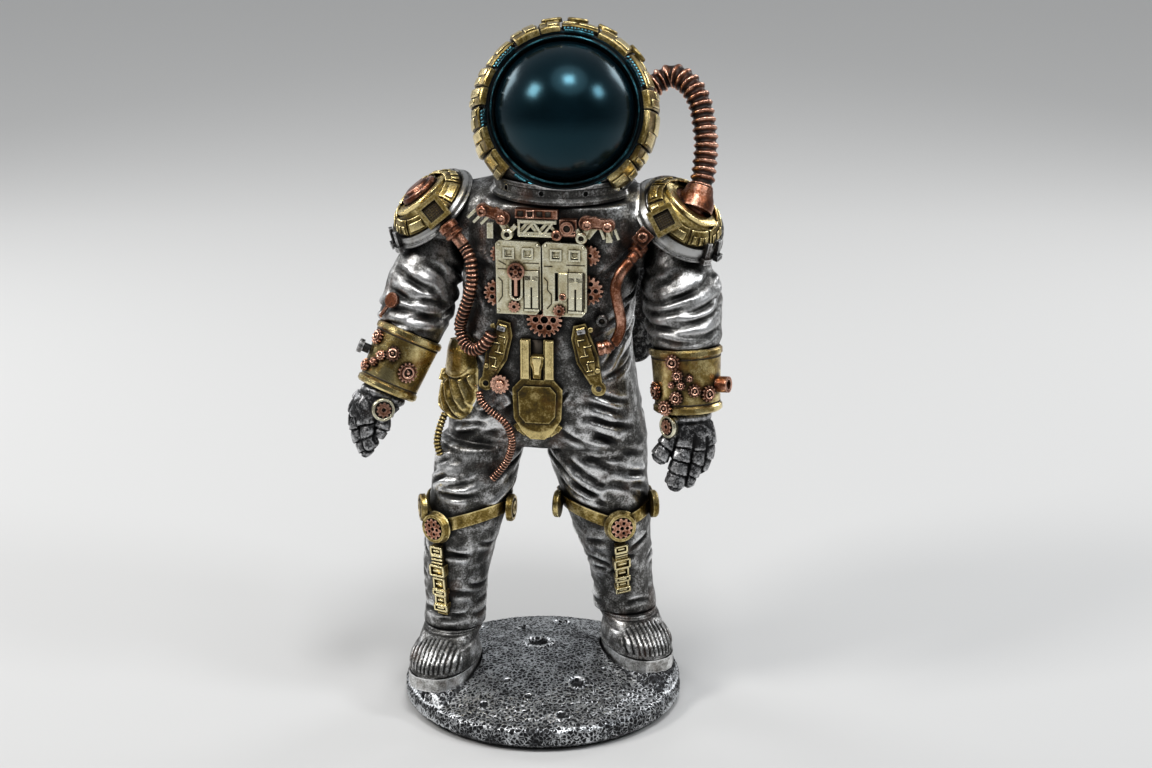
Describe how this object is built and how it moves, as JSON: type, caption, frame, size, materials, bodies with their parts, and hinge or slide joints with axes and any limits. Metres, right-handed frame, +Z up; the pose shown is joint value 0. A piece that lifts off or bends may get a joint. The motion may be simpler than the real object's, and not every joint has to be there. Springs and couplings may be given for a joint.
{
  "type": "action figure",
  "caption": "Steampunk astronaut figure with turning arms and hands, standing on a round cratered moon base.",
  "frame": {"origin": "centre of the round base's underside, on the surface that it stands on", "axes": "+Z up; the figure faces -Y and its left side is +X"},
  "size_m": [0.1616, 0.122, 0.3017],
  "materials": {
    "silver_suit": "cast resin, antique-silver metallic paint with a black wash in the folds, satin",
    "gold_armour": "cast resin, dry-brushed antique-gold metallic paint over dark brown, satin",
    "copper_work": "cast resin, dry-brushed rose-copper metallic paint over dark brown, satin",
    "teal_visor": "cast resin, near-black teal pearl paint under a satin-gloss coat",
    "dark_glove": "cast resin, dark pewter paint with silver dry-brushing",
    "dark_panel": "cast resin, dark pewter paint with gold edges",
    "moon_rock": "cast resin, hammered and cratered, dark grey with silver dry-brushing",
    "felt": "black felt",
    "pin_steel": "plain steel dowel"
  },
  "bodies": {
    "statue": {"base": "moon_rock", "base_pad": "felt", "soles": "silver_suit", "boot_right": "silver_suit", "boot_left": "silver_suit", "leg_right": "silver_suit", "leg_left": "silver_suit", "knee_band_right": "gold_armour", "knee_band_left": "gold_armour", "knee_discs": "gold_armour", "knee_gears": "copper_work", "shin_buckles": "gold_armour", "torso": "silver_suit", "crotch_plate": "gold_armour", "crotch_clip": "gold_armour", "hip_plates": "gold_armour", "holster": "gold_armour", "holster_hose": "gold_armour", "thigh_hose": "copper_work", "chest_plate_right": "gold_armour", "chest_plate_left": "gold_armour", "chest_truss": "gold_armour", "chest_bracket": "copper_work", "linkages": "copper_work", "chest_gears": "copper_work", "plate_gears": "copper_work", "valve_wheel": "copper_work", "chest_hose": "copper_work", "chest_pipe": "copper_work", "hose_fittings": "copper_work", "collar_ring": "silver_suit", "helmet_shell": "silver_suit", "helmet_panels": "gold_armour", "ear_discs": "silver_suit", "visor_ring": "teal_visor", "visor": "teal_visor", "air_hose": "copper_work", "air_hose_sockets": "copper_work", "pauldron_right": "gold_armour", "pauldron_left": "gold_armour", "pauldron_flanges": "silver_suit", "pauldron_caps": "copper_work", "shoulder_buckles": "gold_armour", "shoulder_pins": "pin_steel", "backpack": "dark_panel", "backpack_trim": "gold_armour"},
    "arm_right": {"sleeve_right": "silver_suit", "cuff_right": "gold_armour", "arm_gears_right": "copper_work", "cuff_knob": "silver_suit"},
    "arm_left": {"sleeve_left": "silver_suit", "cuff_left": "gold_armour", "arm_gears_left": "copper_work", "cuff_port": "copper_work"},
    "hand_right": {"glove_right": "dark_glove", "medallion_right": "copper_work"},
    "hand_left": {"glove_left": "dark_glove", "medallion_left": "copper_work"}
  },
  "joints": [
    {"name": "shoulder_right", "type": "hinge", "parent": "statue", "child": "arm_right", "pos_m": [-0.04091, 0.00751, 0.215], "axis": [-0.9877, 0.1564, 0], "range_deg": [-25, 6]},
    {"name": "shoulder_left", "type": "hinge", "parent": "statue", "child": "arm_left", "pos_m": [0.05391, -0.00751, 0.215], "axis": [-0.9877, 0.1564, 0], "range_deg": [-25, 6]},
    {"name": "wrist_right", "type": "hinge", "parent": "arm_right", "child": "hand_right", "pos_m": [-0.0661, -0.012, 0.1458], "axis": [-0.3955, -0.2612, -0.8805], "range_deg": [-45, 45]},
    {"name": "wrist_left", "type": "hinge", "parent": "arm_left", "child": "hand_left", "pos_m": [0.0616, -0.025, 0.1413], "axis": [0.0444, -0.148, -0.988], "range_deg": [-45, 45]}
  ]
}
